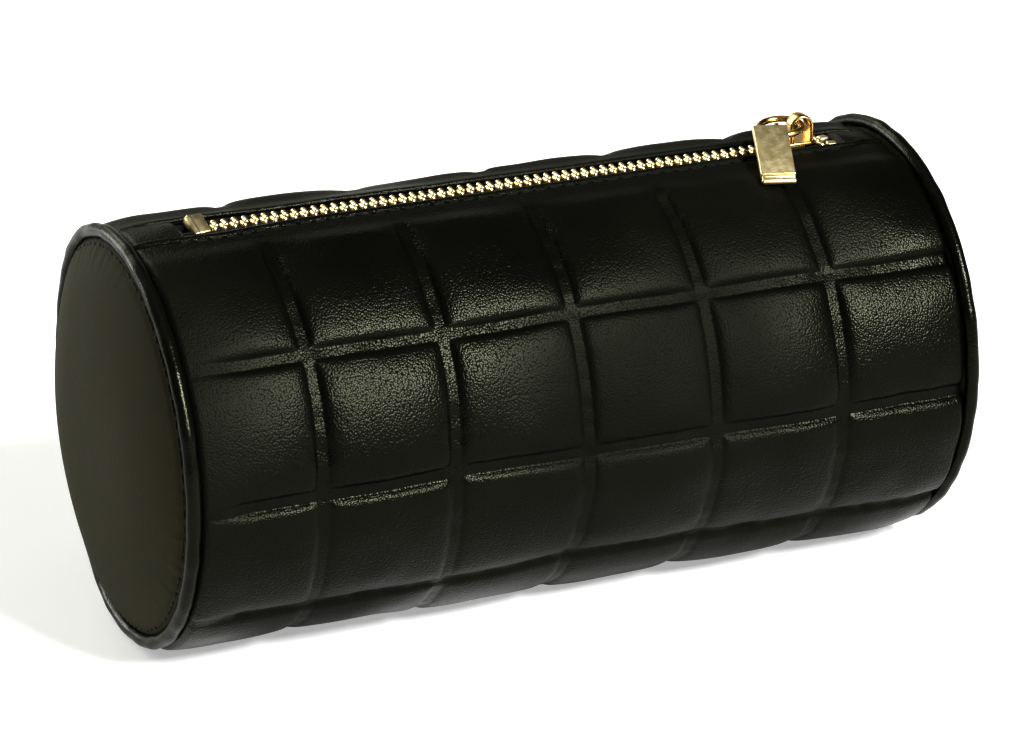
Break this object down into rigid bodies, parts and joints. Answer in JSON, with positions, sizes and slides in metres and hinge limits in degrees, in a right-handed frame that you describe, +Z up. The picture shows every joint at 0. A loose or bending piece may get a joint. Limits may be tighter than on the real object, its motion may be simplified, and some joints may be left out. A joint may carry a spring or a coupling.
{
  "type": "quilted jewellery case",
  "caption": "Small padded cylindrical leather case with round welted ends, a metal zip along the top and a hanging rectangular pull tag.",
  "frame": {"origin": "middle of the flat the case rests on", "axes": "+X along the case to the end where the zip closes, +Z up through the zip, the pull tag hangs towards -Y"},
  "size_m": [0.1742, 0.083, 0.0873],
  "materials": {
    "quilted_leather": "soft fine-grained black lambskin",
    "welt_leather": "smooth black leather stretched over a cord",
    "end_leather": "smooth black leather, low sheen",
    "foam": "open-cell foam",
    "board": "pressed fibre board",
    "filler_cord": "twisted filler cord",
    "lining": "woven grosgrain lining",
    "zip_tape": "woven cotton tape",
    "thread": "waxed black thread",
    "zip_metal": "pale gold plated",
    "pull_metal": "polished pale gold plated, tag face brushed"
  },
  "bodies": {
    "case": {"base_leather": "quilted_leather", "base_padding": "foam", "base_lining": "lining", "left_end_panel": "end_leather", "left_end_stiffener": "board", "left_end_lining": "lining", "left_piping": "welt_leather", "left_piping_cord": "filler_cord", "left_end_stitching": "thread", "left_zip_tab": "quilted_leather", "right_end_panel": "end_leather", "right_end_stiffener": "board", "right_end_lining": "lining", "right_piping": "welt_leather", "right_piping_cord": "filler_cord", "right_end_stitching": "thread", "right_zip_tab": "quilted_leather", "zip_bottom_stop": "zip_metal"},
    "front_wall": {"front_leather": "quilted_leather", "front_padding": "foam", "front_lining": "lining", "front_zip_tape": "zip_tape", "front_zip_teeth": "zip_metal", "front_top_stop": "zip_metal", "front_topstitching": "thread"},
    "rear_wall": {"rear_leather": "quilted_leather", "rear_padding": "foam", "rear_lining": "lining", "rear_zip_tape": "zip_tape", "rear_zip_teeth": "zip_metal", "rear_top_stop": "zip_metal", "rear_topstitching": "thread"},
    "slider": {"slider_body": "pull_metal", "slider_crown": "pull_metal"},
    "ring": {"pull_ring": "pull_metal"},
    "tag": {"pull_tag": "pull_metal"}
  },
  "joints": [
    {"name": "zip_slide", "type": "slide", "parent": "case", "child": "slider", "axis": [1, 0, 0], "range_m": [-0.1175, 0]},
    {"name": "front_wall_fold", "type": "hinge", "parent": "case", "child": "front_wall", "pos_m": [0, -0.0316, 0.0136], "axis": [1, 0, 0], "range_deg": [0, 15.05], "deforming": ["front_leather", "front_padding", "front_lining", "front_zip_tape", "front_zip_teeth", "front_top_stop", "front_topstitching"]},
    {"name": "rear_wall_fold", "type": "hinge", "parent": "case", "child": "rear_wall", "pos_m": [0, 0.0316, 0.0136], "axis": [1, 0, 0], "range_deg": [-15.05, 0], "deforming": ["rear_leather", "rear_padding", "rear_lining", "rear_zip_tape", "rear_zip_teeth", "rear_top_stop", "rear_topstitching"]},
    {"name": "ring_swing", "type": "hinge", "parent": "slider", "child": "ring", "pos_m": [0.0626, 0, 0.0851], "axis": [0, 1, 0], "range_deg": [0, 90]},
    {"name": "tag_swing", "type": "hinge", "parent": "ring", "child": "tag", "pos_m": [0.05565, -0.00325, 0.08426], "axis": [-0.766, 0.6428, 0], "range_deg": [0, 80]}
  ],
  "couplings": [
    {"joint": "front_wall_fold", "follows": "zip_slide", "rad_per_m": -2.2281},
    {"joint": "rear_wall_fold", "follows": "zip_slide", "rad_per_m": 2.2281}
  ]
}
